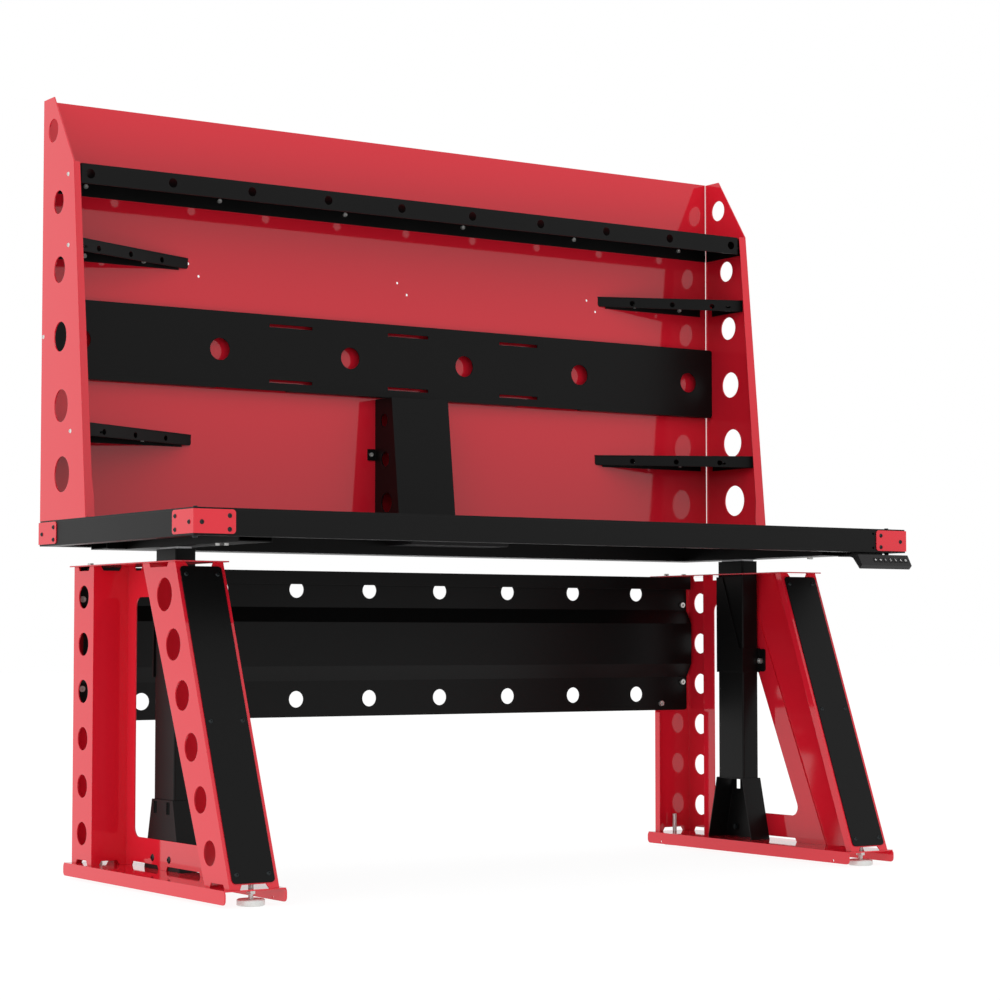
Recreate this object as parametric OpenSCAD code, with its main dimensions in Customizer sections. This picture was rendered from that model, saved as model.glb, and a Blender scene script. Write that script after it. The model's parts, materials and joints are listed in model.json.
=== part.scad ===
// Height-adjustable steel workbench with a tall back unit, on two electric lifting columns.
// Millimetres, +Z up. The bench stands on z = 0 and the origin is the middle of its footprint.
// Pieces are drawn with y = 0 at the worktop's front edge, and place() moves them to the middle.

/* [Worktop] */
// Length of the worktop
top_w = 1800; // [1300:10:2400]
// Depth of the worktop, front to back
top_d = 720; // [640:10:900]
// Height of the worktop's upper face in the lowest position
top_low = 753; // [640:1:950]
// Height of the worktop's edge
edge_h = 53; // [44:1:64]
// Thickness of the plate that covers the worktop
plate_t = 4; // [2:0.5:8]
// Width of the edge rails, seen from below
rail_w = 30; // [20:1:50]
// Length of each leg of the red corner brackets
bracket_leg = 88; // [60:1:120]

/* [Back unit] */
// Height of the back unit above the worktop
hutch_h = 900; // [740:10:1200]
// Depth of the side panels at the worktop
side_foot_d = 230; // [200:5:280]
// Depth of the side panels at the knee, where they start to slope back
side_knee_d = 156; // [140:1:190]
// Depth of the side panels at the top
side_top_d = 52; // [30:1:90]
// Height of the sloping top of the side panels
knee_drop = 153; // [120:1:200]
// Width of the folded front edge of the side panels
side_fold = 16.5; // [10:1:25]
// Height of the top shelf's front lip
lip_h = 42; // [25:1:60]
// Number of holes in the top shelf's lip
lip_holes = 10; // [4:1:12]
// Diameter of the holes in the top shelf's lip
lip_hole_d = 20; // [8:1:26]
// Height of the tool rail
tool_rail_h = 170; // [120:5:200]
// Distance of the tool rail's face from the back panel
tool_rail_gap = 21; // [12:1:40]
// Diameter of the round holes in the tool rail
tool_hole_d = 49; // [20:1:80]

/* [Legs] */
// Distance from the worktop's end to the middle of each end frame
leg_inset = 126.5; // [110:0.5:250]
// Width of the posts of the end frames
post_w = 106; // [90:1:140]
// Depth of the rear post
rear_post_d = 98; // [80:1:120]
// Depth of the leaning front post at the foot
front_foot_d = 103; // [90:1:130]
// Depth of the leaning front post at the head
front_head_d = 147; // [110:1:170]
// How far the front post leans back over its height
front_lean = 239; // [150:1:260]
// How far the left front post's rear wall runs back to the side plate
slant_left = 40; // [20:1:60]
// How far the right front post's rear wall runs back to the side plate
slant_right = 75; // [20:1:80]
// Diameter of the holes in the rear post
rear_hole_d = 49; // [20:1:60]
// Side plate, from the middle of the left end frame towards the inside
web_off_left = 28.5; // [-25:0.5:30]
// Side plate, from the middle of the right end frame towards the inside
web_off_right = -23.5; // [-25:0.5:30]
// Width of the floor channels
base_w = 133; // [120:1:170]
// Height of the floor channels
base_h = 27; // [20:1:40]
// Thickness of all folded sheet
sheet = 2.5; // [1.5:0.5:3]

/* [Lifting columns] */
// Width of the outer column tube, along the bench
col_w = 46; // [44:1:60]
// Depth of the outer column tube, front to back
col_d = 93; // [70:1:100]
// Wall of the column tubes
col_wall = 2; // [1.5:0.5:3]
// Gap between one column tube and the next, on each side
col_gap = 1; // [0.5:0.1:2]
// Height of the sockets that carry the columns
socket_h = 143; // [110:1:180]
// Diameter of the lifting spindles
spindle_d = 12; // [8:1:14]

/* [Feet] */
// Diameter of the levelling feet
foot_d = 54; // [40:1:70]
// Thickness of the levelling feet
foot_t = 13; // [8:1:14]
// Diameter of the threaded foot rods
rod_d = 10; // [8:1:12]

/* [Handset] */
// Length of the handset
handset_w = 150; // [130:1:180]
// Distance from key to key
key_pitch = 15.1; // [12:0.1:17]

/* [Hidden] */
$fn = 48;

red = "#d83c4a";
black = "#232323";
zinc = "#c4c4c2";

bracket_t = 2;        // thickness of the corner brackets
play = 0.25;          // gap round a screw in its hole, on each side
over = 1;             // how far a cutter runs past what it cuts

// Heights
base_low = 6;                                 // underside of the floor channels
base_top = base_low + base_h;
frame_drop = 93.5;                            // worktop face to the end frames' head plates
head_z = top_low - frame_drop;                // upper face of the head plates
post_top = head_z - sheet;
leg_h = post_top - base_top;
edge_low = top_low - edge_h;                  // underside of the worktop's edge
beam_low = edge_low - 6;                      // underside of the side arms
hutch_z = top_low;

// Depths
base_y0 = -18.5;
base_y1 = top_d - 1.5;
post_back = top_d - 15;                       // outer face of the rear posts' rear walls
post_front = post_back - rear_post_d;
lean_y0 = base_y0 + 5.5;                       // foot of the front posts
lean_angle = atan(front_lean / leg_h);
lean_len = leg_h / cos(lean_angle);
back_y = top_d - sheet;                       // front face of the back panel
col_y = top_d - 277.5;                        // middle of the columns
feet_y = [base_y0 + 30.5, base_y1 - 28.5];
foot_x = 5;                                   // feet stand this far inside the end frames' middles

// Widths
leg_x = top_w / 2 - leg_inset;
half_post = post_w / 2;

// Fasteners
screw_d = 5;
screw_head = 2.5;
bolt_d = 8;
plate_screw_d = 6;    // bolts of the worktop and the back unit

// Footprint: the handset stands proud in front and the ends of the back panel's bolts behind
handset_reach = 22;
y_mid = (top_d + plate_screw_d - handset_reach) / 2;

// ---------------------------------------------------------------- drawing helpers

module place() { translate([0, -y_mid, 0]) children(); }

// Flat shapes stood up: yz() extrudes along X, xz() along Y and xy() along Z
module yz(x, t) { translate([x, 0, 0]) rotate([90, 0, 90]) linear_extrude(t) children(); }
module xz(y, t) { translate([0, y + t, 0]) rotate([90, 0, 0]) linear_extrude(t) children(); }
module xy(z, t) { translate([0, 0, z]) linear_extrude(t) children(); }

function unit(v) = v / norm(v);
function left_of(v) = [-v.y, v.x];
// Centre of the arc of radius r that rounds corner b of an anticlockwise outline
function inset(a, b, c, r) =
  let (m = left_of(unit(b - a)), n = left_of(unit(c - b))) b + r * (m + n) / (1 + m * n);

module bar(a, b, r) {
  d = b - a;
  translate(a) rotate(atan2(d.y, d.x)) translate([0, -r]) square([norm(d), 2 * r]);
}

// Outline with every corner rounded, points anticlockwise
module rounded(points, r) {
  n = len(points);
  c = [for (i = [0:n - 1]) inset(points[(i + n - 1) % n], points[i], points[(i + 1) % n], r)];
  polygon(c);
  for (i = [0:n - 1]) {
    translate(c[i]) circle(r);
    bar(c[i], c[(i + 1) % n], r);
  }
}

function box(x0, y0, x1, y1) = [[x0, y0], [x1, y0], [x1, y1], [x0, y1]];

module slab(x0, y0, z0, x1, y1, z1) { translate([x0, y0, z0]) cube([x1 - x0, y1 - y0, z1 - z0]); }

// Notch in the end of a wall, with sloping sides; dir is 1 at a lower end
notch_h = 9;
module notch(middle, z, width, dir) {
  w = width / 2;
  polygon([[middle - w, z - dir * over], [middle + w, z - dir * over],
           [middle + w - 6, z + dir * notch_h], [middle - w + 6, z + dir * notch_h]]);
}
// The same notch in a wall, which leaves a tab at each side of it
notch_share = 0.6;
module wall_notch(middle, z, wall, dir) { notch(middle, z, wall * notch_share, dir); }

// Hexagon recess for a key, d across its corners, in a head of height h
module recess(d, h) { translate([0, 0, 0.4 * h]) cylinder(h = h, d = d, $fn = 6); }

// Screw with its head at z = 0, pointing down: round head, shank
module screw(d, length) {
  difference() {
    cylinder(h = screw_head, d1 = 1.9 * d, d2 = 1.2 * d);
    recess(0.8 * d, screw_head);
  }
  translate([0, 0, -length]) cylinder(h = length + 0.1, d = d);
}

// Cap bolt with its head above z = 0, shank below it and nut at depth grip
module bolt(d, grip) {
  difference() {
    cylinder(h = 0.75 * d, d = 1.6 * d);
    recess(0.9 * d, 0.75 * d);
  }
  translate([0, 0, -grip - d]) cylinder(h = grip + d + 0.1, d = d);
  translate([0, 0, -grip - 0.8 * d]) cylinder(h = 0.8 * d, d = 1.75 * d, $fn = 6);
}

// Frames of one end: x = 0 is the end frame's middle and +x points inside
module at_left() { translate([-leg_x, 0, 0]) children(); }
module at_right() { translate([leg_x, 0, 0]) mirror([1, 0, 0]) children(); }

// Frame of the leaning front face: z runs up the slope and -y stands out of it
module on_lean() { translate([0, lean_y0, base_top]) rotate([-lean_angle, 0, 0]) children(); }

// ---------------------------------------------------------------- end frames

function lean_front(z) = lean_y0 + (z - base_top) * front_lean / leg_h;
function lean_rear(z) =
  lean_y0 + front_foot_d + (z - base_top) * (front_lean + front_head_d - front_foot_d) / leg_h;

hole_rows = 6;
hole_margin = 64;     // from the ends of a post to its first and last hole
function row_z(i) = base_top + hole_margin + i * (leg_h - 2 * hole_margin) / (hole_rows - 1);

fold_lip = 18;        // depth of the folded inner edge of the posts

flange_end = 9;       // rounding of the ends of the floor channels
cable_hole_d = 5.5;
cable_hole_y = [base_y0 + 52.5, base_y1 - 53];

module base_channel() {
  color(red) difference() {
    union() {
      for (x = [-base_w / 2, base_w / 2 - sheet])
        yz(x, sheet) rounded(box(base_y0, base_low, base_y1, base_top), flange_end);
      xy(base_top - sheet, sheet) rounded(box(-base_w / 2, base_y0 + 2, base_w / 2, base_y1 - 2), 2);
    }
    for (y = feet_y) translate([foot_x, y, base_top - sheet - over])
      cylinder(h = sheet + 2 * over, d = rod_d + 1);
    for (y = cable_hole_y)
      translate([base_w / 2 - sheet - over, y, base_low + 5.5]) rotate([0, 90, 0])
        cylinder(h = sheet + 2 * over, d = cable_hole_d);
  }
}

// Bolts that hold the modesty panel to the posts' rear walls
function rear_bolts(shift) = [
  [-half_post + 21 + shift, post_top - 68], [-half_post + 21 + shift, post_top - 258],
  [half_post - 19 + shift, post_top - 310]];

module rear_post(web_off, shift) {
  color(red) {
    yz(-half_post, sheet) difference() {
      square_box(post_front, base_top, post_back, post_top);
      for (i = [0:hole_rows - 1]) translate([(post_front + post_back) / 2, row_z(i)]) circle(d = rear_hole_d);
      wall_notch((post_front + post_back) / 2, base_top, rear_post_d, 1);
      wall_notch((post_front + post_back) / 2, post_top, rear_post_d, -1);
    }
    xz(post_back - sheet, sheet) difference() {
      square_box(-half_post, base_top, half_post, post_top);
      wall_notch(0, base_top, post_w, 1);
      wall_notch(0, post_top, post_w, -1);
      for (p = rear_bolts(shift)) translate(p) circle(d = bolt_d + 2 * play);
    }
    xz(post_front, sheet) difference() {
      square_box(-half_post, base_top, web_off, post_top);
      wall_notch((web_off - half_post) / 2, base_top, web_off + half_post, 1);
      wall_notch((web_off - half_post) / 2, post_top, web_off + half_post, -1);
    }
    yz(half_post - sheet, sheet)
      square_box(post_back - fold_lip, base_top, post_back, post_top - panel_h - 5);
  }
}

module square_box(x0, y0, x1, y1) { translate([x0, y0]) square([x1 - x0, y1 - y0]); }

front_hole_low = 49;
front_hole_high = 67;
cover_w = 91;
cover_foot = 12;      // from the foot of the front post to the cover, along the slope
cover_head = 10;
cover_screw_side = 11; // from the cover's sides to its screws
cover_screw_end = 17;
cover_points = [for (x = [-1, 1], z = [cover_foot + cover_screw_end, (cover_foot + lean_len - cover_head) / 2,
                                      lean_len - cover_head - cover_screw_end])
                 [x * (cover_w / 2 - cover_screw_side), z]];

// Rear wall of the front post: it runs back from the outer flange to the side plate, slant further back there
rear_lean = atan((front_lean + front_head_d - front_foot_d) / leg_h);
module post_rear_wall(web_off, slant) {
  w = web_off - sheet + half_post;
  turn = atan(slant * cos(rear_lean) / w);
  intersection() {
    translate([-half_post, lean_rear(base_top), base_top]) rotate([-rear_lean, 0, 0]) rotate([0, 0, turn])
      translate([-sheet, -sheet, -slant]) cube([norm([w, slant]) + 4 * sheet, sheet, lean_len + 2 * slant]);
    slab(-half_post, lean_y0, base_top, web_off - sheet, post_back, post_top);
  }
}

front_hole_back = 5;  // the lowest hole sits this far behind the flange's middle, the highest in the middle
module front_post(web_off, slant) {
  slope_w = sheet / cos(lean_angle);
  color(red) difference() {
    union() {
      yz(-half_post, sheet) difference() {
        polygon([[lean_front(base_top), base_top], [lean_rear(base_top), base_top],
                 [lean_rear(post_top), post_top], [lean_front(post_top), post_top]]);
        for (i = [0:hole_rows - 1]) let (share = i / (hole_rows - 1))
          translate([(lean_front(row_z(i)) + lean_rear(row_z(i))) / 2 + front_hole_back * (1 - share), row_z(i)])
            circle(d = front_hole_low + (front_hole_high - front_hole_low) * share);
        wall_notch((lean_front(base_top) + lean_rear(base_top)) / 2, base_top, front_foot_d, 1);
        wall_notch((lean_front(post_top) + lean_rear(post_top)) / 2, post_top, front_head_d, -1);
      }
      yz(-half_post, post_w) lean_band(slope_w);
      yz(half_post - sheet, sheet) lean_band(fold_lip);
      post_rear_wall(web_off, slant);
    }
    for (end = [[base_top, 1], [post_top, -1]])
      xz(lean_front(end[0]) - 15, 30) wall_notch(0, end[0], post_w, end[1]);
    on_lean() for (p = cover_points)
      translate([p.x, -over, p.y]) rotate([-90, 0, 0]) cylinder(h = sheet + 2 * over, d = screw_d + 2 * play);
  }
}

// Strip along the leaning front edge, w wide from front to back
module lean_band(w) {
  polygon([[lean_front(base_top), base_top], [lean_front(base_top) + w, base_top],
           [lean_front(post_top) + w, post_top], [lean_front(post_top), post_top]]);
}

module post_cover() {
  color(black) on_lean() xz(-sheet, sheet) difference() {
    rounded(box(-cover_w / 2, cover_foot, cover_w / 2, lean_len - cover_head), 8);
    for (p = cover_points) translate(p) circle(d = screw_d + 2 * play);
  }
}

module cover_screw_set() {
  on_lean() for (p = cover_points)
    translate([p.x, -sheet, p.y]) rotate([90, 0, 0]) screw(screw_d, 2 * sheet + 3);
}

// Side plate with its large window
window_rear = 39;     // plate left beside the rear post
window_front = 131;   // plate left beside the front post
window_foot = 61;
window_head = 65;
window_r = 20;
socket_bolt_y = [col_y - 38, col_y + 38];
socket_bolt_z = base_top + 23;
strap_bolt_y = col_y - col_d / 2 - 9;
strap_bolt_z = top_low - 300;
strap_tab = 24;

plate_lap = 4;        // the side plate starts this far before the end of the front post's rear wall

function window_points() =
  let (z0 = base_top + window_foot, z1 = post_top - window_head)
    [[lean_rear(z0) + window_front, z0], [post_front - window_rear, z0],
     [post_front - window_rear, z1], [lean_rear(z1) + window_front, z1]];

module side_plate(web_off, slant) {
  y = slant - plate_lap;
  color(red) yz(web_off - sheet, sheet) difference() {
    polygon([[lean_rear(base_top) + y, base_top], [post_front, base_top], [post_front, post_top],
             [lean_rear(post_top) + y, post_top]]);
    rounded(window_points(), window_r);
    for (y = socket_bolt_y) translate([y, socket_bolt_z]) circle(d = bolt_d + 2 * play);
    translate([strap_bolt_y, strap_bolt_z]) circle(d = bolt_d + 2 * play);
    notch(post_front - 90.5, base_top, 129, 1);
    notch(post_front - 266.5, base_top, 155, 1);
    notch(post_front - 48, post_top, 40, -1);
  }
}

// Head plate of an end frame, cut out round the column
head_bolt_x = [-24, 30];
head_bolt_y = post_back - 18;
module head_plate(web_off) {
  color(red) difference() {
    xy(post_top, sheet)
      rounded(box(-half_post - 7.5, lean_front(post_top) - 13.5, half_post + 7.5, post_back + 10.5), 3);
    slab(web_off, col_y - col_d / 2 - 6, post_top - over, web_off + column_off + col_w + 6,
         col_y + col_d / 2 + 6, head_z + over);
    for (x = head_bolt_x) translate([x, head_bolt_y, post_top - over])
      cylinder(h = sheet + 2 * over, d = bolt_d + 2 * play);
  }
}

// ---------------------------------------------------------------- modesty panel

panel_x = leg_x + half_post - 11.5;
panel_h = 327;
panel_y = post_back - 2 * sheet;              // front face of its flat edges; the back meets the posts
panel_step = 20;                              // the middle stands forward
panel_hole_d = 37;
panel_shift = -5;                             // the holes sit a little to the left
panel_holes = 8;
panel_hole_pitch = 190 * top_w / 1800;
panel_flat = 81;
panel_slope = 33;
panel_mid = 99;
panel_hat = 26;                               // depth of the folded top edge
panel_hat_h = 30;

module modesty_panel() {
  z1 = post_top;
  z0 = z1 - panel_h;
  a = z1 - panel_flat;
  b = a - panel_slope;
  c = b - panel_mid;
  d = c - panel_slope;
  y = panel_y;
  f = panel_y - panel_step;
  through = panel_hat + sheet + 2 * over;
  color(black) difference() {
    union() {
      intersection() {
        yz(-panel_x, 2 * panel_x)
          polygon([[y, z1], [y, a], [f, b], [f, c], [y, d], [y, z0],
                   [y + sheet, z0], [y + sheet, d], [f + sheet, c], [f + sheet, b], [y + sheet, a],
                   [y + sheet, z1]]);
        xz(y - through, 2 * through) rounded(box(-panel_x, z0, panel_x, z1), 7);
      }
      slab(-panel_x + 6, y - panel_hat, z1 - sheet, panel_x - 6, y + 1, z1);
      slab(-panel_x + 6, y - panel_hat, z1 - panel_hat_h, panel_x - 6, y - panel_hat + sheet, z1);
    }
    for (i = [0:panel_holes - 1], z = [z1 - 41.5, z0 + 40])
      translate([(i - (panel_holes - 1) / 2) * panel_hole_pitch + panel_shift, y - over, z])
       rotate([-90, 0, 0])
        cylinder(h = sheet + 2 * over, d = panel_hole_d);
    for (s = [-1, 1]) {
      for (p = rear_bolts(-s * panel_shift)) translate([s * (leg_x - p.x), y - over, p.y]) rotate([-90, 0, 0])
        cylinder(h = sheet + 2 * over, d = bolt_d + 2 * play);
      for (x = head_bolt_x) translate([s * (leg_x - x), head_bolt_y, z1 - sheet - over])
        cylinder(h = sheet + 2 * over, d = bolt_d + 2 * play);
    }
  }
}

// ---------------------------------------------------------------- columns

tube_r = 4;
outer_foot = base_top + socket_h;
outer_top = beam_low - 4;
column_off = sheet + 1.5;                     // from the side plate to the column
function col_x(web_off) = web_off + column_off + col_w / 2;
module tube_ring(w, d, wall, r) {
  difference() {
    rounded(box(-w / 2, -d / 2, w / 2, d / 2), r);
    rounded(box(wall - w / 2, wall - d / 2, w / 2 - wall, d / 2 - wall), max(r - wall, 0.8));
  }
}
step_in = 2 * (col_wall + col_gap);
mid_w = col_w - step_in;
mid_d = col_d - step_in;
in_w = mid_w - step_in;
in_d = mid_d - step_in;
push_d = spindle_d + 6;
mid_foot = outer_foot + 8;
inner_foot = mid_foot + 8;

module column_outer(web_off) {
  color(black) translate([col_x(web_off), col_y, 0]) {
    xy(outer_foot, outer_top - outer_foot) tube_ring(col_w, col_d, col_wall, tube_r);
    xy(outer_foot, 4) rounded(box(-col_w / 2 + 1, -col_d / 2 + 1, col_w / 2 - 1, col_d / 2 - 1), tube_r - 1);
  }
}

// Middle tube with the tube of its spindle nut
module column_middle(web_off) {
  color(zinc) translate([col_x(web_off), col_y, 0]) {
    xy(mid_foot, outer_top - mid_foot - 1) tube_ring(mid_w, mid_d, col_wall, tube_r - 1);
    xy(mid_foot, 4) rounded(box(-mid_w / 2 + 1, -mid_d / 2 + 1, mid_w / 2 - 1, mid_d / 2 - 1), tube_r - 2);
    difference() {
      translate([0, 0, mid_foot + 3]) cylinder(h = nut_top - mid_foot - 3, d = push_d);
      translate([0, 0, mid_foot + 4]) cylinder(h = nut_top, d = spindle_d + 0.8);
    }
  }
}
nut_top = outer_foot + 0.62 * (outer_top - outer_foot);

module column_inner(web_off) {
  color(zinc) translate([col_x(web_off), col_y, 0])
    xy(inner_foot, beam_low - inner_foot) tube_ring(in_w, in_d, col_wall, tube_r - 1.5);
}

module spindle(web_off) {
  color(zinc) translate([col_x(web_off), col_y, 0]) {
    translate([0, 0, inner_foot]) cylinder(h = beam_low + sheet + 2 - inner_foot, d = spindle_d);
    translate([0, 0, beam_low - 12]) cylinder(h = 10, d = spindle_d + 8);
  }
}

// Tapered socket under a column: its back lies on the side plate and it is open to the inside
socket_d = 55;
socket_slot_y = [col_y - 27, col_y + 32];     // slots in its back
socket_foot_d = 163;
socket_head_d = col_d + 3;
module column_socket(web_off) {
  x0 = web_off;
  f = socket_foot_d / 2;
  h = socket_head_d / 2;
  z0 = base_top;
  z1 = outer_foot;
  w = sheet * norm([socket_h, f - h]) / socket_h;
  color(black) difference() {
    union() {
      yz(x0, sheet) difference() {
        polygon([[col_y - f, z0], [col_y + f, z0], [col_y + h, z1], [col_y - h, z1]]);
        for (y = socket_slot_y) translate([y - 7.5, z1 - 29]) square([15, 25]);
      }
      yz(x0, socket_d) {
        polygon([[col_y + f - w, z0], [col_y + f, z0], [col_y + h, z1], [col_y + h - w, z1]]);
        polygon([[col_y - f, z0], [col_y - f + w, z0], [col_y - h + w, z1], [col_y - h, z1]]);
      }
      xy(z1 - sheet, sheet) square_box(x0, col_y - h + 1, x0 + socket_d - 4, col_y + h - 1);
    }
    for (y = socket_bolt_y) translate([x0 - over, y, socket_bolt_z]) rotate([0, 90, 0])
      cylinder(h = sheet + 2 * over, d = bolt_d + 2 * play);
  }
}

// Strap that holds a column to the side plate: tall behind, low in front, with a bolted tab
strap_low = top_low - 327;
strap_front_top = top_low - 270;
module column_strap(web_off) {
  xi = web_off + column_off + col_w;                 // the strap lies against the column
  y0 = col_y - col_d / 2;
  y1 = col_y + col_d / 2;
  color(black) difference() {
    union() {
      yz(xi, sheet)
        polygon([[y0 - sheet, strap_low], [y1 + sheet, strap_low], [y1 + sheet, post_top - 4],
                 [y1 - 20, post_top - 4], [y0 + 11, strap_front_top], [y0 - sheet, strap_front_top]]);
      xz(y0 - sheet, sheet) square_box(web_off, strap_low, xi + 1, strap_front_top);
      xz(y1, sheet) square_box(web_off, strap_low, xi + 1, post_top - 4);
      yz(web_off, sheet) rounded(box(y0 - strap_tab, strap_low + 2, y0, strap_front_top - 2), 6);
    }
    translate([web_off - over, strap_bolt_y, strap_bolt_z]) rotate([0, 90, 0])
      cylinder(h = sheet + 2 * over, d = bolt_d + 2 * play);
  }
}

// ---------------------------------------------------------------- bolts and feet

module x_bolt(x, y, z, grip) { translate([x, y, z]) rotate([0, 90, 0]) bolt(bolt_d, grip); }

module end_bolts(web_off, shift) {
  for (p = rear_bolts(shift)) translate([p.x, panel_y, p.y]) rotate([90, 0, 0]) bolt(bolt_d, 2 * sheet);
  for (x = head_bolt_x) translate([x, head_bolt_y, head_z]) bolt(bolt_d, 2 * sheet);
  x_bolt(web_off + sheet, strap_bolt_y, strap_bolt_z, 2 * sheet);
}

// Screws of the sockets: round heads outside the side plate, nuts inside
module socket_screws(web_off) {
  for (y = socket_bolt_y) translate([web_off - sheet, y, socket_bolt_z]) rotate([0, -90, 0]) {
    screw(bolt_d, 2 * sheet + bolt_d);
    translate([0, 0, -2 * sheet - 0.8 * bolt_d]) cylinder(h = 0.8 * bolt_d, d = 1.75 * bolt_d, $fn = 6);
  }
}

nut_h = 8;
nut_play = 0.3;
module foot_nut_set() {
  for (y = feet_y) translate([foot_x, y, 0]) difference() {
    translate([0, 0, base_top - sheet - nut_h]) cylinder(h = nut_h, d = 19.6, $fn = 6);
    translate([0, 0, base_top - sheet - nut_h - over])
      cylinder(h = nut_h + 2 * over, d = rod_d + 2 * nut_play);
  }
}

rod_tops = [base_top + 25, base_top + 43];    // the front ones end under the leaning posts
module foot(y, rod_top) {
  color(zinc) translate([foot_x, y, 0]) {
    cylinder(h = 2, d1 = foot_d - 4, d2 = foot_d);
    translate([0, 0, 2]) cylinder(h = foot_t - 4, d = foot_d);
    translate([0, 0, foot_t - 2]) cylinder(h = 2, d1 = foot_d, d2 = foot_d - 4);
    cylinder(h = rod_top - 1, d = rod_d);
    translate([0, 0, rod_top - 1]) cylinder(h = 1, d1 = rod_d, d2 = rod_d - 2);
  }
}

// ---------------------------------------------------------------- worktop

arm_w = 76;
arm_y0 = 95;
arm_y1 = top_d - 120;
beam_h = 28;
beam_w = 40;
beam_y = 150;
rear_beam_w = 80;
rear_beam_in = 100;   // from the worktop's ends to the rear beam's
under_plate = top_low - plate_t;
half_top = top_w / 2;

// Bracket screws: distance from the corner, height under the worktop's face
screw_points = [[16, -28], [75, -15], [75, -41]];
corner_button = [22, 38];
button_d = 12;
button_h = 4;
end_hole = [96.5, 11, 43];                    // from the right end, and two depths under the face

module button_hole(depth) {
  translate([0, 0, -over]) cylinder(h = depth + 2 * over, d = plate_screw_d + 2 * play);
}
module screw_hole(depth) { translate([0, 0, -over]) cylinder(h = depth + 2 * over, d = screw_d + 2 * play); }

// Rail along the front, closed at both ends; the rear one is its mirror image
module long_rail() {
  color(black) difference() {
    union() {
      yz(-half_top, top_w) difference() {
        square_box(0, edge_low, rail_w, under_plate);
        square_box(sheet, edge_low + sheet, rail_w - sheet, under_plate - sheet);
      }
      for (x = [-half_top, half_top - sheet])
        slab(x, 0.5, edge_low + 0.5, x + sheet, rail_w - 0.5, under_plate - 0.5);
    }
    for (s = [-1, 1]) {
      for (p = screw_points)
        translate([s * (half_top - p.x), 0, top_low + p.y]) rotate([-90, 0, 0]) screw_hole(sheet);
      translate([s * half_top, screw_points[0].x, top_low + screw_points[0].y])
        rotate([0, -90 * s, 0]) screw_hole(sheet);
    }
    for (z = [end_hole[1], end_hole[2]])
      translate([half_top - end_hole[0], 0, top_low - z]) rotate([-90, 0, 0]) screw_hole(sheet);
  }
}

module end_rail_set() {
  color(black) for (s = [0, 1]) mirror([s, 0, 0]) difference() {
    xz(rail_w, top_d - 2 * rail_w) difference() {
      square_box(-half_top, edge_low, -half_top + rail_w, under_plate);
      square_box(-half_top + sheet, edge_low + sheet, -half_top + rail_w - sheet, under_plate - sheet);
    }
    for (i = [1, 2], y = [screw_points[i].x, top_d - screw_points[i].x])
      translate([-half_top, y, top_low + screw_points[i].y]) rotate([0, 90, 0]) screw_hole(sheet);
    translate([-half_top + corner_button.x, corner_button.y, edge_low]) button_hole(edge_h);
    for (y = side_bolt_y) translate([-side_bolt_x, y, under_plate - sheet]) button_hole(sheet);
  }
}

// Corner bracket with its corner at the origin, legs along +x and +y
bracket_low = top_low - 49.5;
bracket_high = top_low - 3;
module bracket_leg_shape() {
  rounded(box(-bracket_t, bracket_low, bracket_leg, bracket_high), 7);
  square_box(-bracket_t, bracket_low, 10, bracket_high);
}
module corner_bracket() {
  difference() {
    union() {
      xz(-bracket_t, bracket_t) bracket_leg_shape();
      yz(-bracket_t, bracket_t) bracket_leg_shape();
    }
    for (p = screw_points) {
      translate([p.x, -bracket_t, top_low + p.y]) rotate([-90, 0, 0]) screw_hole(bracket_t);
      translate([-bracket_t, p.x, top_low + p.y]) rotate([0, 90, 0]) screw_hole(bracket_t);
    }
  }
}

module each_corner() {
  for (sx = [0, 1], sy = [0, 1])
    translate([sx ? half_top : -half_top, sy ? top_d : 0, 0])
      mirror([sx, 0, 0]) mirror([0, sy, 0]) children();
}

module bracket_screws() {
  color("#1b2a2c") each_corner() {
    for (p = screw_points) {
      translate([p.x, -bracket_t, top_low + p.y]) rotate([90, 0, 0]) screw(screw_d, 9);
      translate([-bracket_t, p.x, top_low + p.y]) rotate([0, -90, 0]) screw(screw_d, 9);
    }
  }
  // Bolts through the front corners, with a button head above and below the edge
  color("#1b2a2c") for (s = [-1, 1]) translate([s * (half_top - corner_button.x), corner_button.y, 0]) {
    translate([0, 0, edge_low - button_h / 2]) cylinder(h = edge_h + button_h, d = plate_screw_d);
    translate([0, 0, top_low]) cylinder(h = button_h, d1 = button_d, d2 = 0.7 * button_d);
    translate([0, 0, edge_low - button_h]) cylinder(h = button_h, d1 = 0.7 * button_d, d2 = button_d);
  }
}

module worktop_plate() {
  color(black) difference() {
    xy(under_plate, plate_t) rounded(box(-half_top, 0, half_top, top_d), 2);
    for (s = [-1, 1]) {
      translate([s * (half_top - corner_button.x), corner_button.y, under_plate]) button_hole(plate_t);
      for (y = side_bolt_y) translate([s * side_bolt_x, y, under_plate]) button_hole(plate_t);
    }
  }
}

// Arms that carry the worktop on the columns, one per end, with the motor inside
function arm_x(web_off) = leg_x - col_x(web_off);
module side_arm(x) {
  color(black) difference() {
    translate([x, 0, 0]) xz(arm_y0, arm_y1 - arm_y0) difference() {
      square_box(-arm_w / 2, beam_low, arm_w / 2, under_plate);
      square_box(sheet - arm_w / 2, beam_low + sheet, arm_w / 2 - sheet, under_plate - sheet);
    }
    translate([x, col_y, beam_low - over]) cylinder(h = sheet + 2 * over, d = spindle_d + 1);
    for (p = arm_bolts) translate([x + (x > 0 ? -1 : 1) * p.x, p.y, beam_low - over])
      cylinder(h = sheet + 2 * over, d = plate_screw_d + 2 * play);
  }
}

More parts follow.
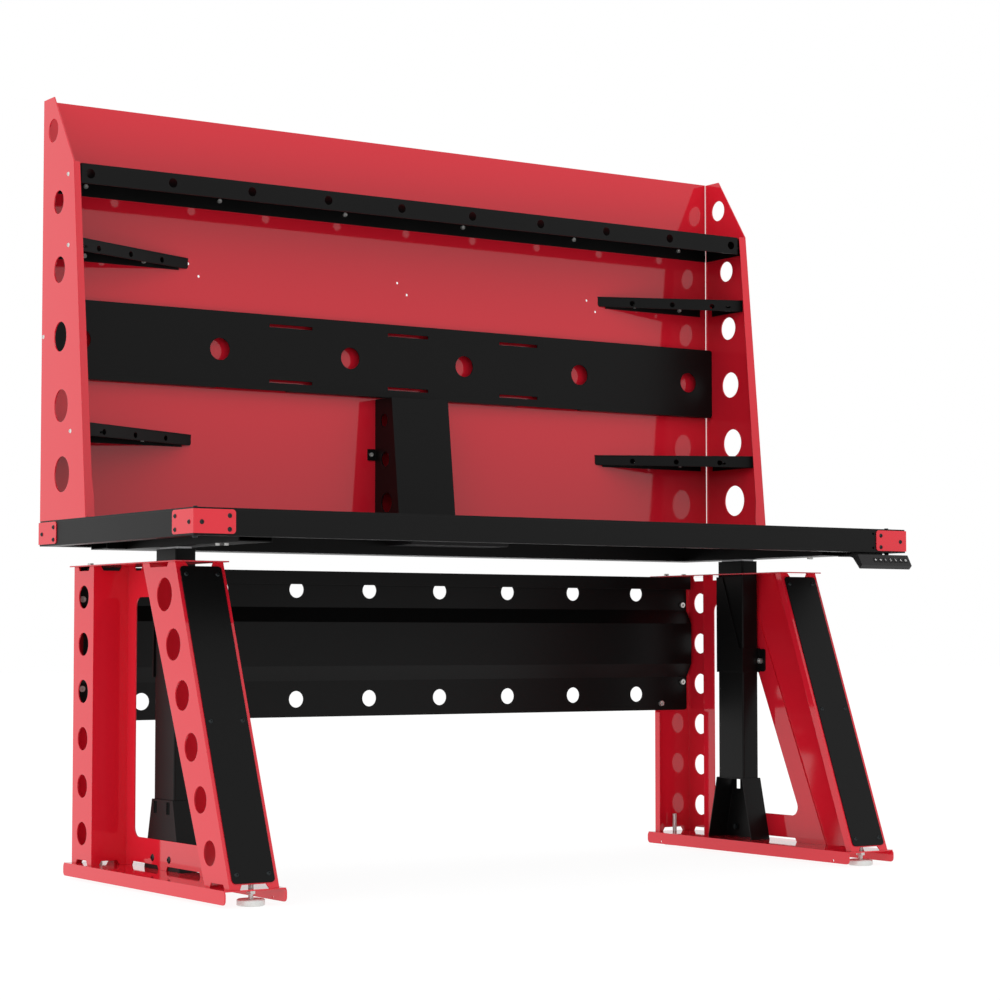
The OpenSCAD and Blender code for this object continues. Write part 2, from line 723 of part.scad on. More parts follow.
module cross_beams() {
  x0 = -arm_x(web_off_left) + arm_w / 2;
  x1 = arm_x(web_off_right) - arm_w / 2;
  rear_x = half_top - rear_beam_in;
  color(black) {
    yz(x0, x1 - x0) beam_section(beam_y - beam_w / 2, beam_w, beam_h);
    yz(-rear_x, 2 * rear_x) beam_section(arm_y1, rear_beam_w, under_plate - beam_low);
  }
}
module beam_section(y, width, height) {
  difference() {
    square_box(y, under_plate - height, y + width, under_plate);
    square_box(y + sheet, under_plate - height + sheet, y + width - sheet, under_plate - sheet);
  }
}
// Bolts under the front ends of the arms: inwards from an arm's middle, and from the worktop's front
arm_bolts = [[-26, 205], [-12, 195]];

motor_w = 58;
motor_l = 92;
module motor(x) {
  color(black) translate([x, 0, 0]) difference() {
    union() {
      translate([0, 0, beam_low + sheet]) xy(0, 44)
        rounded(box(-motor_w / 2, col_y - 30, motor_w / 2, col_y + 34), 6);
      translate([0, col_y + 33, beam_low + sheet + 22]) rotate([-90, 0, 0]) cylinder(h = motor_l, d = 42);
    }
    translate([0, col_y, beam_low + sheet - over]) cylinder(h = 14, d = spindle_d + 1);
  }
}

// Control box under the plate, with its mains inlet at the back
box_w = 260;
box_d = 110;
box_h = 36;
module control_box() {
  y0 = arm_y1 - 20 - box_d;
  z0 = under_plate - box_h;
  color(black) difference() {
    xy(z0, box_h) rounded(box(-box_w / 2, y0, box_w / 2, y0 + box_d), 6);
    slab(box_w / 2 - 52, y0 + box_d - 14, z0 + 8, box_w / 2 - 24, y0 + box_d + over, z0 + 28);
  }
  color(zinc) for (x = [-6, 0, 6]) translate([box_w / 2 - 38 + x, y0 + box_d - 15, z0 + 17 + (x == 0 ? 4 : 0)])
    rotate([-90, 0, 0]) cylinder(h = 11, d = 3.4);
}

// ---------------------------------------------------------------- handset

face_tilt = 30;
face_l = 28;
hand_top = top_low - edge_h - 5.5;
hand_x1 = half_top - 0.3;
hand_x0 = hand_x1 - handset_w;
hand_y = face_l / 2 * sin(face_tilt) - handset_reach;     // middle of the key face
hand_z = hand_top - face_l / 2 * cos(face_tilt);
key_names = 7;
hand_feet = [hand_x0 + 24, hand_x1 - 48.7];  // clear of the bolt through the worktop's corner
key_w = 10.4;
key_gap = 0.4;
key_deep = 3.2;
key_proud = 0.9;
key_x = hand_x1 - 58;                    // middle key

// Frame of the key face: -y stands out of it and z runs up it
module on_keys() { translate([0, hand_y, hand_z]) rotate([-face_tilt, 0, 0]) children(); }

module handset() {
  pocket = key_w / 2 + key_gap;
  nose = [-handset_reach, hand_top - face_l * cos(face_tilt)];
  head = [nose.x + face_l * sin(face_tilt), hand_top];
  color(black) {
    difference() {
      yz(hand_x0, handset_w)
        polygon([head, nose, [nose.x + 8.5, nose.y - 8], [8, hand_top - 8], [20, hand_top - 4],
                 [58, hand_top - 4], [58, hand_top]]);
      on_keys() for (i = [0:key_names - 1])
        xz(-over, key_deep + 2.2 + over) translate([key_x + (i - 3) * key_pitch, 0])
          rounded(box(-pocket, -pocket, pocket, pocket), 1.8);
    }
    for (x = hand_feet)
      translate([x, 34, hand_top - 0.5]) cylinder(h = edge_low - hand_top + 0.5, d = 16);
    slab(hand_feet[0], rail_w - 4, hand_top - 0.5, hand_feet[1], rail_w + 18, edge_low);
  }
}

module key(i) {
  color(zinc) on_keys() xz(-key_proud, key_deep) translate([key_x + (i - 3) * key_pitch, 0])
    rounded(box(-key_w / 2, -key_w / 2, key_w / 2, key_w / 2), 1.4);
}

// ---------------------------------------------------------------- back unit

side_gap = 0.5;
side_x = half_top - sheet;                    // inner face of the side panels
inner_x = side_x - side_gap;
back_x = side_x - 3.5;                        // half the width of the back panel
knee_z = hutch_z + hutch_h - knee_drop;
function side_front(z) =
  top_d - side_foot_d + (side_foot_d - side_knee_d) * (z - hutch_z) / (knee_z - hutch_z);
side_rows = [0.105, 0.265, 0.427, 0.585, 0.745, 0.92];
side_hole_d = [75, 69, 63, 56, 50, 50];
function side_mid(z) = z > knee_z
  ? (top_d + side_front(knee_z) + (z - knee_z) * (side_knee_d - side_top_d) / knee_drop) / 2
  : (top_d + side_front(z)) / 2;
// Screws into the shelves and the tool rail: share of the height, and share of the depth from behind
side_screws = [[0.8031, 0.821], [0.6362, 0.772], [0.4358, 0.048], [0.2021, 0.718]];
function side_screw(p) =
  let (z = hutch_z + p.x * hutch_h) [top_d - (top_d - side_front(z)) * p.y, z];
side_bolt_x = side_x - 12;
side_bolt_y = [top_d - side_foot_d + 40, top_d - 40];
fold_foot = 25;

module side_panel() {
  // right-hand panel; the left one is its mirror image
  color(red) {
    yz(side_x, sheet) difference() {
      polygon([[top_d - side_foot_d, hutch_z], [top_d, hutch_z], [top_d, hutch_z + hutch_h],
               [top_d - side_top_d, hutch_z + hutch_h], [top_d - side_knee_d, knee_z]]);
      for (i = [0:5]) let (z = hutch_z + side_rows[i] * hutch_h)
        translate([side_mid(z), z]) circle(d = side_hole_d[i]);
      for (p = side_screws) translate(side_screw(p)) circle(d = screw_d + 2 * play);
    }
    translate([side_x + sheet - fold_skew, top_d - side_foot_d, hutch_z + fold_lift])
      rotate([-fold_lean, 0, 0]) mirror([1, 0, 0]) rotate([0, 0, fold_turn]) xz(0, sheet)
        polygon([[0, 0], [fold_foot, 0], [fold_foot, 40], [side_fold + 4, 90],
                 [side_fold, fold_len], [0, fold_len]]);
    difference() {
      slab(side_x - 24, top_d - side_foot_d + 4, hutch_z, side_x + 1, back_y - side_gap, hutch_z + sheet);
      for (y = side_bolt_y) translate([side_bolt_x, y, hutch_z - over])
        cylinder(h = sheet + 2 * over, d = plate_screw_d + 2 * play);
    }
  }
}
fold_lean = atan((side_foot_d - side_knee_d) / (knee_z - hutch_z));
fold_len = (knee_z - hutch_z) / cos(fold_lean) - 1;
fold_lift = 1.3;                              // the fold ends this far above the worktop
fold_turn = 17;                               // the fold slants back
fold_skew = sheet * sin(fold_turn);

pair_x = [-544, -4, 538];
module back_panel() {
  color(red) difference() {
    slab(-back_x, back_y, hutch_z, back_x, top_d, hutch_z + hutch_h);
    for (x = pair_x, s = [-1, 1])
      translate([x * top_w / 1800 + s * 13, back_y - over, hutch_z + 0.6285 * hutch_h - s * 13])
       rotate([-90, 0, 0])
        cylinder(h = sheet + 2 * over, d = 6);
    for (p = panel_bolts()) translate([p.x, back_y - over, p.y]) rotate([-90, 0, 0])
      cylinder(h = sheet + 2 * over, d = plate_screw_d + 2 * play);
  }
}

// Top shelf: a plate with its edges folded down, the front one drilled
shelf_z = hutch_z + 0.8282 * hutch_h;         // upper face
shelf_low = shelf_z - lip_h;
shelf_y = side_front(shelf_z) + 6;
shelf_lip_in = 20.5;  // the lip ends this far inside the side panels' outer faces, beside their folds
shelf_corner = 14;    // depth of the plate's corner cut behind the folds
lip_pitch = (top_w - 82.8) / (lip_holes - 1);
shelf_bolt_pitch = 322 * top_w / 1800;
function shelf_bolts() = [for (i = [-2.5:1:2.5]) [i * shelf_bolt_pitch, shelf_z - lip_h / 2]];
module top_shelf() {
  lip_x = half_top - shelf_lip_in;
  color(black) difference() {
    union() {
      xy(shelf_z - sheet, sheet) polygon([
        [-lip_x, shelf_y], [lip_x, shelf_y], [lip_x, shelf_y + shelf_corner],
        [inner_x, shelf_y + shelf_corner], [inner_x, back_y], [-inner_x, back_y],
        [-inner_x, shelf_y + shelf_corner], [-lip_x, shelf_y + shelf_corner]]);
      slab(-lip_x, shelf_y, shelf_low, lip_x, shelf_y + sheet, shelf_z);
      slab(-inner_x + 4, back_y - sheet, shelf_low, inner_x - 4, back_y, shelf_z);
      for (s = [0, 1]) mirror([s, 0, 0])
        slab(inner_x - sheet, shelf_y + shelf_corner, shelf_low, inner_x, back_y - 4, shelf_z);
    }
    for (i = [0:lip_holes - 1])
      translate([(i - (lip_holes - 1) / 2) * lip_pitch, shelf_y - over, shelf_z - lip_h / 2])
       rotate([-90, 0, 0])
        cylinder(h = sheet + 2 * over, d = lip_hole_d);
    for (p = shelf_bolts()) translate([p.x, back_y - sheet - over, p.y]) rotate([-90, 0, 0])
      cylinder(h = sheet + 2 * over, d = plate_screw_d + 2 * play);
    side_screw_holes();
  }
}

// Holes for the side panels' screws in what they hold
module side_screw_holes() {
  for (p = side_screws) translate([-half_top, side_screw(p).x, side_screw(p).y]) rotate([0, 90, 0])
    cylinder(h = top_w, d = screw_d + 2 * play);
}

// Corner shelf in the right-hand corner, edges folded down; the left ones are mirror images
corner_lip = [24, 28];        // height of the lip at its rear end and at the side panel
corner_gap = [22, 25];        // the folds end this far from the corner
corner_hole_d = 12.5;
corner_hole_up = 10.5;        // from the lip's lower edge
upper_z = hutch_z + 0.6561 * hutch_h;         // upper faces
lower_z = hutch_z + 0.2228 * hutch_h;
upper_l = 340;
lower_l = 350;
corner_bolt_x = [-90, -230];
corner_bolt_down = 16.5;
function corner_d(z) = back_y - side_front(z) - 22;
module corner_shelf(z, length) {
  d = corner_d(z);
  angle = atan(d / length);
  slope_l = norm([length, d]);
  color(black) difference() {
    translate([inner_x, back_y, 0]) difference() {
      union() {
        xy(z - sheet, sheet) polygon([[-length, 0], [-length + 1, -1], [0, -d], [0, 0]]);
        translate([-length, 0, 0]) rotate([0, 0, -angle]) xz(0, sheet)
          polygon([[1, z - corner_lip[0] + 4], [5, z - corner_lip[0]], [slope_l - 2, z - corner_lip[1]],
                   [slope_l - 2, z], [1, z]]);
        slab(-length + 24, -sheet, z - corner_lip[1], -corner_gap[0], 0, z);
        slab(-sheet, -d + 12, z - corner_lip[1], 0, -corner_gap[1], z);
      }
      slab(-length - over, 0, z - corner_lip[1] - over, over, sheet + over, z + over);
      slab(0, -d - sheet, z - corner_lip[1] - over, sheet + over, over, z + over);
      translate([-length, 0, z]) rotate([0, 0, -angle]) for (f = [0.237, 0.511, 0.784])
        translate([slope_l * f, -over, corner_hole_up - corner_lip[0] - f * (corner_lip[1] - corner_lip[0])])
          rotate([-90, 0, 0]) cylinder(h = sheet + 2 * over, d = corner_hole_d);
      for (x = corner_bolt_x) translate([x, -sheet - over, z - corner_bolt_down]) rotate([-90, 0, 0])
        cylinder(h = sheet + 2 * over, d = plate_screw_d + 2 * play);
    }
    side_screw_holes();
  }
}

// Tool rail: a hollow rail across the back panel
rail_z = hutch_z + 0.3411 * hutch_h;
tool_y = back_y - tool_rail_gap;
tool_x = inner_x;
tool_hole_x = [0.0861, 0.2711, 0.4567];
slot_x = [-0.1717, 0, 0.1717];
slot_l = 110;
slot_h = 7;
rail_cut_x = 0.2244;
rail_cut_w = 184;
module tool_rail() {
  color(black) difference() {
    union() {
      xz(tool_y, sheet) rounded(box(-tool_x, rail_z, tool_x, rail_z + tool_rail_h), 8);
      slab(-tool_x + 8, tool_y + 1, rail_z, tool_x - 8, back_y, rail_z + sheet);
      slab(-tool_x + 8, tool_y + 1, rail_z + tool_rail_h - sheet, tool_x - 8, back_y, rail_z + tool_rail_h);
      for (z = [rail_z, rail_z + tool_rail_h - 16])
        slab(-tool_x + 8, back_y - sheet, z, tool_x - 8, back_y, z + 16);
      for (s = [0, 1]) mirror([s, 0, 0])
        slab(tool_x - sheet, tool_y + 1, rail_z + 8, tool_x, back_y, rail_z + tool_rail_h - 8);
    }
    side_screw_holes();
    for (s = [-1, 1]) {
      for (f = tool_hole_x) translate([s * f * top_w, tool_y - over, rail_z + tool_rail_h / 2])
        rotate([-90, 0, 0]) cylinder(h = sheet + 2 * over, d = tool_hole_d);
      slab(s * rail_cut_x * top_w - rail_cut_w / 2, tool_y + 1, rail_z - over,
           s * rail_cut_x * top_w + rail_cut_w / 2, top_d, rail_z + 17);
    }
    for (f = slot_x, z = [rail_z + 21, rail_z + tool_rail_h - 24])
      slab(f * top_w - slot_l / 2, tool_y - over, z - slot_h / 2,
           f * top_w + slot_l / 2, tool_y + sheet + over, z + slot_h / 2);
    for (p = rail_bolts()) translate([p.x, back_y - sheet - over, p.y]) rotate([-90, 0, 0])
      cylinder(h = sheet + 2 * over, d = plate_screw_d + 2 * play);
  }
}
function rail_bolts() = [for (f = [-0.36, 0, 0.36], z = [8, tool_rail_h - 8]) [f * top_w, rail_z + z]];

// Centre post: a channel that narrows upwards, open at the back
post_half = 76;
cp_foot_d = 110;
cp_head_d = 73;
cp_top = rail_z - 4;
cp_tab_z = hutch_z + 175;
function cp_front(z) = back_y - cp_foot_d + (z - hutch_z) * (cp_foot_d - cp_head_d) / (cp_top - hutch_z);
cp_rows = [[0.2085, 45], [0.5375, 34], [0.834, 30]];
module centre_post() {
  w = sheet / cos(atan((cp_foot_d - cp_head_d) / (cp_top - hutch_z)));
  color(black) {
    for (x = [-post_half, post_half - sheet]) yz(x, sheet) difference() {
      polygon([[cp_front(hutch_z), hutch_z], [back_y, hutch_z],
               [back_y, cp_top], [cp_front(cp_top), cp_top]]);
      for (r = cp_rows) let (z = hutch_z + r.x * (cp_top - hutch_z))
        translate([(cp_front(z) + back_y) / 2, z]) circle(d = r.y);
    }
    yz(-post_half, 2 * post_half)
      polygon([[cp_front(hutch_z), hutch_z], [cp_front(hutch_z) + w, hutch_z],
               [cp_front(cp_top) + w, cp_top], [cp_front(cp_top), cp_top]]);
    slab(-post_half, cp_front(cp_top), cp_top - sheet, post_half, back_y, cp_top);
    for (s = [0, 1]) mirror([s, 0, 0]) difference() {
      slab(post_half - 1, back_y - sheet, cp_tab_z - 13, post_half + 21, back_y, cp_tab_z + 13);
      translate([post_half + 13, back_y - sheet - over, cp_tab_z]) rotate([-90, 0, 0])
        cylinder(h = sheet + 2 * over, d = plate_screw_d + 2 * play);
    }
  }
}

function panel_bolts() = concat(
  shelf_bolts(), rail_bolts(),
  [for (s = [-1, 1]) [s * (post_half + 13), cp_tab_z]],
  [for (s = [-1, 1], x = corner_bolt_x, z = [upper_z, lower_z]) [s * (inner_x + x), z - corner_bolt_down]]);

module upper_bolts() {
  color(zinc) {
    for (p = panel_bolts()) translate([p.x, back_y - sheet, p.y]) rotate([90, 0, 0]) bolt(6, 2 * sheet);
    for (s = [-1, 1], y = side_bolt_y) translate([s * side_bolt_x, y, hutch_z + sheet]) screw(6, 9);
    for (s = [0, 1], p = side_screws) mirror([s, 0, 0])
      translate([half_top, side_screw(p).x, side_screw(p).y]) rotate([0, 90, 0]) screw(screw_d, 8);
    for (x = [-arm_x(web_off_left), arm_x(web_off_right)], p = arm_bolts) mirror([x > 0 ? 1 : 0, 0, 0])
      translate([-abs(x) + p.x, p.y, beam_low]) rotate([180, 0, 0]) bolt(plate_screw_d, sheet);
  }
}

// ---------------------------------------------------------------- one line for each node
module node_base_channel_left() { place() at_left() base_channel(); }
module node_rear_post_left() { place() at_left() rear_post(web_off_left, panel_shift); }
module node_front_post_left() { place() at_left() front_post(web_off_left, slant_left); }
module node_side_plate_left() { place() at_left() side_plate(web_off_left, slant_left); }
module node_top_plate_left() { place() at_left() head_plate(web_off_left); }
module node_post_cover_left() { place() at_left() post_cover(); }
module node_column_socket_left() { place() at_left() column_socket(web_off_left); }
module node_column_outer_left() { place() at_left() column_outer(web_off_left); }
module node_column_middle_left() { place() at_left() column_middle(web_off_left); }
module node_column_inner_left() { place() at_left() column_inner(web_off_left); }
module node_spindle_left() { place() at_left() spindle(web_off_left); }
module node_foot_front_left() { place() at_left() foot(feet_y[0], rod_tops[0]); }
module node_foot_rear_left() { place() at_left() foot(feet_y[1], rod_tops[1]); }
module node_base_channel_right() { place() at_right() base_channel(); }
module node_rear_post_right() { place() at_right() rear_post(web_off_right, -panel_shift); }
module node_front_post_right() { place() at_right() front_post(web_off_right, slant_right); }
module node_side_plate_right() { place() at_right() side_plate(web_off_right, slant_right); }
module node_top_plate_right() { place() at_right() head_plate(web_off_right); }
module node_post_cover_right() { place() at_right() post_cover(); }
module node_column_socket_right() { place() at_right() column_socket(web_off_right); }
module node_column_outer_right() { place() at_right() column_outer(web_off_right); }
module node_column_middle_right() { place() at_right() column_middle(web_off_right); }
module node_column_inner_right() { place() at_right() column_inner(web_off_right); }
module node_spindle_right() { place() at_right() spindle(web_off_right); }
module node_foot_front_right() { place() at_right() foot(feet_y[0], rod_tops[0]); }
module node_foot_rear_right() { place() at_right() foot(feet_y[1], rod_tops[1]); }
module node_column_straps() {
  place() {
    at_left() column_strap(web_off_left);
    at_right() column_strap(web_off_right);
  }
}
module stand_screws(web_off) { cover_screw_set(); socket_screws(web_off); }
module node_black_screws() {
  place() color(black) { at_left() stand_screws(web_off_left); at_right() stand_screws(web_off_right); }
}
module node_frame_bolts() {
  place() color(zinc) {
    at_left() end_bolts(web_off_left, panel_shift);
    at_right() end_bolts(web_off_right, -panel_shift);
  }
}
module node_foot_nuts() { place() color(zinc) { at_left() foot_nut_set(); at_right() foot_nut_set(); } }
module node_modesty_panel() { place() modesty_panel(); }
module node_side_arms() { place() { side_arm(-arm_x(web_off_left)); side_arm(arm_x(web_off_right)); } }
module node_motors() { place() { motor(-arm_x(web_off_left)); motor(arm_x(web_off_right)); } }
module node_cross_beams() { place() cross_beams(); }
module node_front_rail() { place() long_rail(); }
module node_rear_rail() { place() translate([0, top_d, 0]) mirror([0, 1, 0]) long_rail(); }
module node_end_rails() { place() end_rail_set(); }
module node_worktop_plate() { place() worktop_plate(); }
module node_corner_brackets() { place() color(red) each_corner() corner_bracket(); }
module node_bracket_screws() { place() bracket_screws(); }
module node_control_box() { place() control_box(); }
module node_handset() { place() handset(); }
module node_key_up() { place() key(0); }
module node_key_down() { place() key(1); }
module node_key_1() { place() key(2); }
module node_key_2() { place() key(3); }
module node_key_3() { place() key(4); }
module node_key_4() { place() key(5); }
module node_key_memory() { place() key(6); }
module node_back_panel() { place() back_panel(); }
module node_side_panel_left() { place() mirror([1, 0, 0]) side_panel(); }
module node_side_panel_right() { place() side_panel(); }
module node_top_shelf() { place() top_shelf(); }
module node_corner_shelf_upper_left() { place() mirror([1, 0, 0]) corner_shelf(upper_z, upper_l); }
module node_corner_shelf_upper_right() { place() corner_shelf(upper_z, upper_l); }
module node_corner_shelf_lower_left() { place() mirror([1, 0, 0]) corner_shelf(lower_z, lower_l); }
module node_corner_shelf_lower_right() { place() corner_shelf(lower_z, lower_l); }
module node_tool_rail() { place() tool_rail(); }
module node_centre_post() { place() centre_post(); }
module node_upper_bolts() { place() upper_bolts(); }

node_base_channel_left();  // base_channel_left
node_rear_post_left();  // rear_post_left
node_front_post_left();  // front_post_left
node_side_plate_left();  // side_plate_left
node_top_plate_left();  // top_plate_left
node_post_cover_left();  // post_cover_left
node_column_socket_left();  // column_socket_left
node_column_outer_left();  // column_outer_left
node_column_middle_left();  // column_middle_left
node_column_inner_left();  // column_inner_left
node_spindle_left();  // spindle_left
node_foot_front_left();  // foot_front_left
node_foot_rear_left();  // foot_rear_left
node_base_channel_right();  // base_channel_right
node_rear_post_right();  // rear_post_right
node_front_post_right();  // front_post_right
node_side_plate_right();  // side_plate_right
node_top_plate_right();  // top_plate_right
node_post_cover_right();  // post_cover_right
node_column_socket_right();  // column_socket_right
node_column_outer_right();  // column_outer_right
node_column_middle_right();  // column_middle_right
node_column_inner_right();  // column_inner_right
node_spindle_right();  // spindle_right
node_foot_front_right();  // foot_front_right
node_foot_rear_right();  // foot_rear_right
node_column_straps();  // column_straps
node_black_screws();  // black_screws
node_frame_bolts();  // frame_bolts
node_foot_nuts();  // foot_nuts
node_modesty_panel();  // modesty_panel
node_side_arms();  // side_arms
node_motors();  // motors
node_cross_beams();  // cross_beams
node_front_rail();  // front_rail
node_rear_rail();  // rear_rail
node_end_rails();  // end_rails
node_worktop_plate();  // worktop_plate
node_corner_brackets();  // corner_brackets
node_bracket_screws();  // bracket_screws
node_control_box();  // control_box
node_handset();  // handset
node_key_up();  // key_up
node_key_down();  // key_down
node_key_1();  // key_1
node_key_2();  // key_2
node_key_3();  // key_3
node_key_4();  // key_4
node_key_memory();  // key_memory
node_back_panel();  // back_panel
node_side_panel_left();  // side_panel_left
node_side_panel_right();  // side_panel_right
node_top_shelf();  // top_shelf
node_corner_shelf_upper_left();  // corner_shelf_upper_left
node_corner_shelf_upper_right();  // corner_shelf_upper_right
node_corner_shelf_lower_left();  // corner_shelf_lower_left
node_corner_shelf_lower_right();  // corner_shelf_lower_right
node_tool_rail();  // tool_rail
node_centre_post();  // centre_post
node_upper_bolts();  // upper_bolts
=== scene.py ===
"""Height-adjustable steel workbench with a tall back unit: finishes, edges, key marks and studio.

Laid out as a Blender add-on. Run as a script it registers its operators, calls them in order and finishes
the frame.
"""

import json
import math

import bpy
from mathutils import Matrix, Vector


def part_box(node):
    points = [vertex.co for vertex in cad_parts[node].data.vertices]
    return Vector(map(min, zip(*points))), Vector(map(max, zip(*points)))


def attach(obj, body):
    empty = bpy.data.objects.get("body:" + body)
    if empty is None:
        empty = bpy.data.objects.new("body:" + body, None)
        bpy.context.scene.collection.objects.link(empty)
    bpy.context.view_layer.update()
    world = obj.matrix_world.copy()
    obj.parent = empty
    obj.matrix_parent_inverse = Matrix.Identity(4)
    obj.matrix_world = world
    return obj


bl_info = {
    "name": "Height-adjustable workbench",
    "version": (1, 0, 0),
    "blender": (4, 5, 0),
    "location": "View3D > Sidebar > Workbench",
    "description": "Finishes, fittings and studio for a steel workbench on lifting columns",
    "category": "Object",
}

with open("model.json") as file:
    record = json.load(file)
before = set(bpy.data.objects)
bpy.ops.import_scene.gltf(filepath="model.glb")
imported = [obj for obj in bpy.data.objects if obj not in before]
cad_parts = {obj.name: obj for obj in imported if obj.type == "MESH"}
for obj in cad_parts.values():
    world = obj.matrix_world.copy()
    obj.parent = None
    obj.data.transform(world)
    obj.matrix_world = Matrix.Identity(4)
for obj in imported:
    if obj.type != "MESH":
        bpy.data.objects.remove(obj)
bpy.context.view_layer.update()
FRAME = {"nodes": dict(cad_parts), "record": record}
SLOTS = {entry["node"]: entry["material_slot"] for entry in FRAME["record"]["subparts"]}


def nodes_of(slot):
    """The CAD nodes that have this material slot."""
    return [FRAME["nodes"][name] for name, its_slot in SLOTS.items() if its_slot == slot]


DUST = (0.42, 0.40, 0.38)         # colour of settled dust
FLOOR_GREY = (0.12, 0.12, 0.12, 1)
FLOOR_GLOW = 0.92                 # the floor lights itself almost to white, so shadows stay faint
FLOOR_SIZE = 60                   # metres
FLOOR_DROP = 0.0005               # the floor lies this far under the feet, in metres
SIDE_LIGHT_TURN = (0, math.radians(-75), math.radians(12))

# ---------------------------------------------------------------- settings


class WorkbenchFinish(bpy.types.PropertyGroup):
    """Colours and surface of the paint, plating and plastic."""

    red: bpy.props.FloatVectorProperty(
        name="Red", description="Powder coat of the end frames and the back unit", subtype="COLOR",
        size=3, min=0, max=1, default=(0.68, 0.012, 0.028))
    black: bpy.props.FloatVectorProperty(
        name="Black", description="Powder coat of the shelves, rails and columns", subtype="COLOR",
        size=3, min=0, max=1, default=(0.0036, 0.0036, 0.0036))
    plastic: bpy.props.FloatVectorProperty(
        name="Plastic", description="Handset, motors and control box", subtype="COLOR",
        size=3, min=0, max=1, default=(0.006, 0.006, 0.0065))
    zinc: bpy.props.FloatVectorProperty(
        name="Zinc", description="Bolts and levelling feet", subtype="COLOR",
        size=3, min=0, max=1, default=(0.78, 0.78, 0.76))
    peel_size: bpy.props.FloatProperty(
        name="Orange peel", description="Distance from crest to crest of the powder coat's ripple",
        subtype="DISTANCE", unit="LENGTH", min=0.0005, default=0.0035)
    mark_size: bpy.props.FloatProperty(
        name="Mark size", description="Height of the marks on the keys", subtype="DISTANCE", unit="LENGTH",
        default=0.0062)
    mark_height: bpy.props.FloatProperty(
        name="Mark thickness", description="How far the marks stand out", subtype="DISTANCE", unit="LENGTH",
        default=0.00012)
    key_tilt: bpy.props.FloatProperty(
        name="Key tilt", description="How far the key face leans back from upright", subtype="ANGLE",
        unit="ROTATION", default=math.radians(30))
    gloss: bpy.props.FloatProperty(
        name="Red roughness", description="Roughness of the glossy red coat", min=0, max=1, default=0.06)
    satin: bpy.props.FloatProperty(
        name="Black roughness", description="Roughness of the satin black coat", min=0, max=1, default=0.38)


class WorkbenchStudio(bpy.types.PropertyGroup):
    """Camera and light."""

    eye: bpy.props.FloatVectorProperty(
        name="Eye", description="Where the camera stands", subtype="XYZ", unit="LENGTH", size=3,
        default=(-3.0222, -4.5707, 0.5033))
    turn: bpy.props.FloatProperty(
        name="Turn", description="How far the camera is turned to the right of straight ahead",
        subtype="ANGLE", unit="ROTATION", default=math.radians(33.70))
    rise: bpy.props.FloatProperty(
        name="Rise", description="How far the camera looks up", subtype="ANGLE", unit="ROTATION",
        default=math.radians(3.20))
    lens: bpy.props.FloatProperty(
        name="Lens", description="Focal length on a 36 mm sensor", subtype="DISTANCE_CAMERA", default=89.93)
    sky: bpy.props.FloatProperty(
        name="Sky", description="Strength of the light from all round", min=0, default=1.0)
    side_light: bpy.props.FloatProperty(
        name="Side light", description="Strength of the wide soft light from the left", min=0, default=0.65)
    side_spread: bpy.props.FloatProperty(
        name="Side light's width", description="Angle that the side light covers, seen from the bench",
        subtype="ANGLE", unit="ROTATION", default=math.radians(70))


def finish_settings():
    return bpy.context.scene.workbench_finish


def studio_settings():
    return bpy.context.scene.workbench_studio


# ---------------------------------------------------------------- shader groups


def new_group(name, inputs, outputs):
    """A shader node group with float, vector or colour sockets; returns it with its end nodes."""
    group = bpy.data.node_groups.new(name, "ShaderNodeTree")
    for label, kind, value in inputs:
        socket = group.interface.new_socket(name=label, in_out="INPUT", socket_type=kind)
        if value is not None:
            socket.default_value = value
    for label, kind in outputs:
        group.interface.new_socket(name=label, in_out="OUTPUT", socket_type=kind)
    return group, group.nodes.new("NodeGroupInput"), group.nodes.new("NodeGroupOutput")


def scaled(group, scale_socket):
    """Object coordinates times a scale, as a vector output."""
    place = group.nodes.new("ShaderNodeTexCoord")
    grow = group.nodes.new("ShaderNodeVectorMath")
    grow.operation = "SCALE"
    group.links.new(place.outputs["Object"], grow.inputs[0])
    group.links.new(scale_socket, grow.inputs["Scale"])
    return grow.outputs[0]


def remap(group, value, low, high, to_low, to_high):
    """A Map Range node with clamped ends."""
    node = group.nodes.new("ShaderNodeMapRange")
    group.links.new(value, node.inputs["Value"])
    for label, number in (("From Min", low), ("From Max", high), ("To Min", to_low), ("To Max", to_high)):
        if hasattr(number, "is_linked"):
            group.links.new(number, node.inputs[label])
        else:
            node.inputs[label].default_value = number
    return node.outputs["Result"]


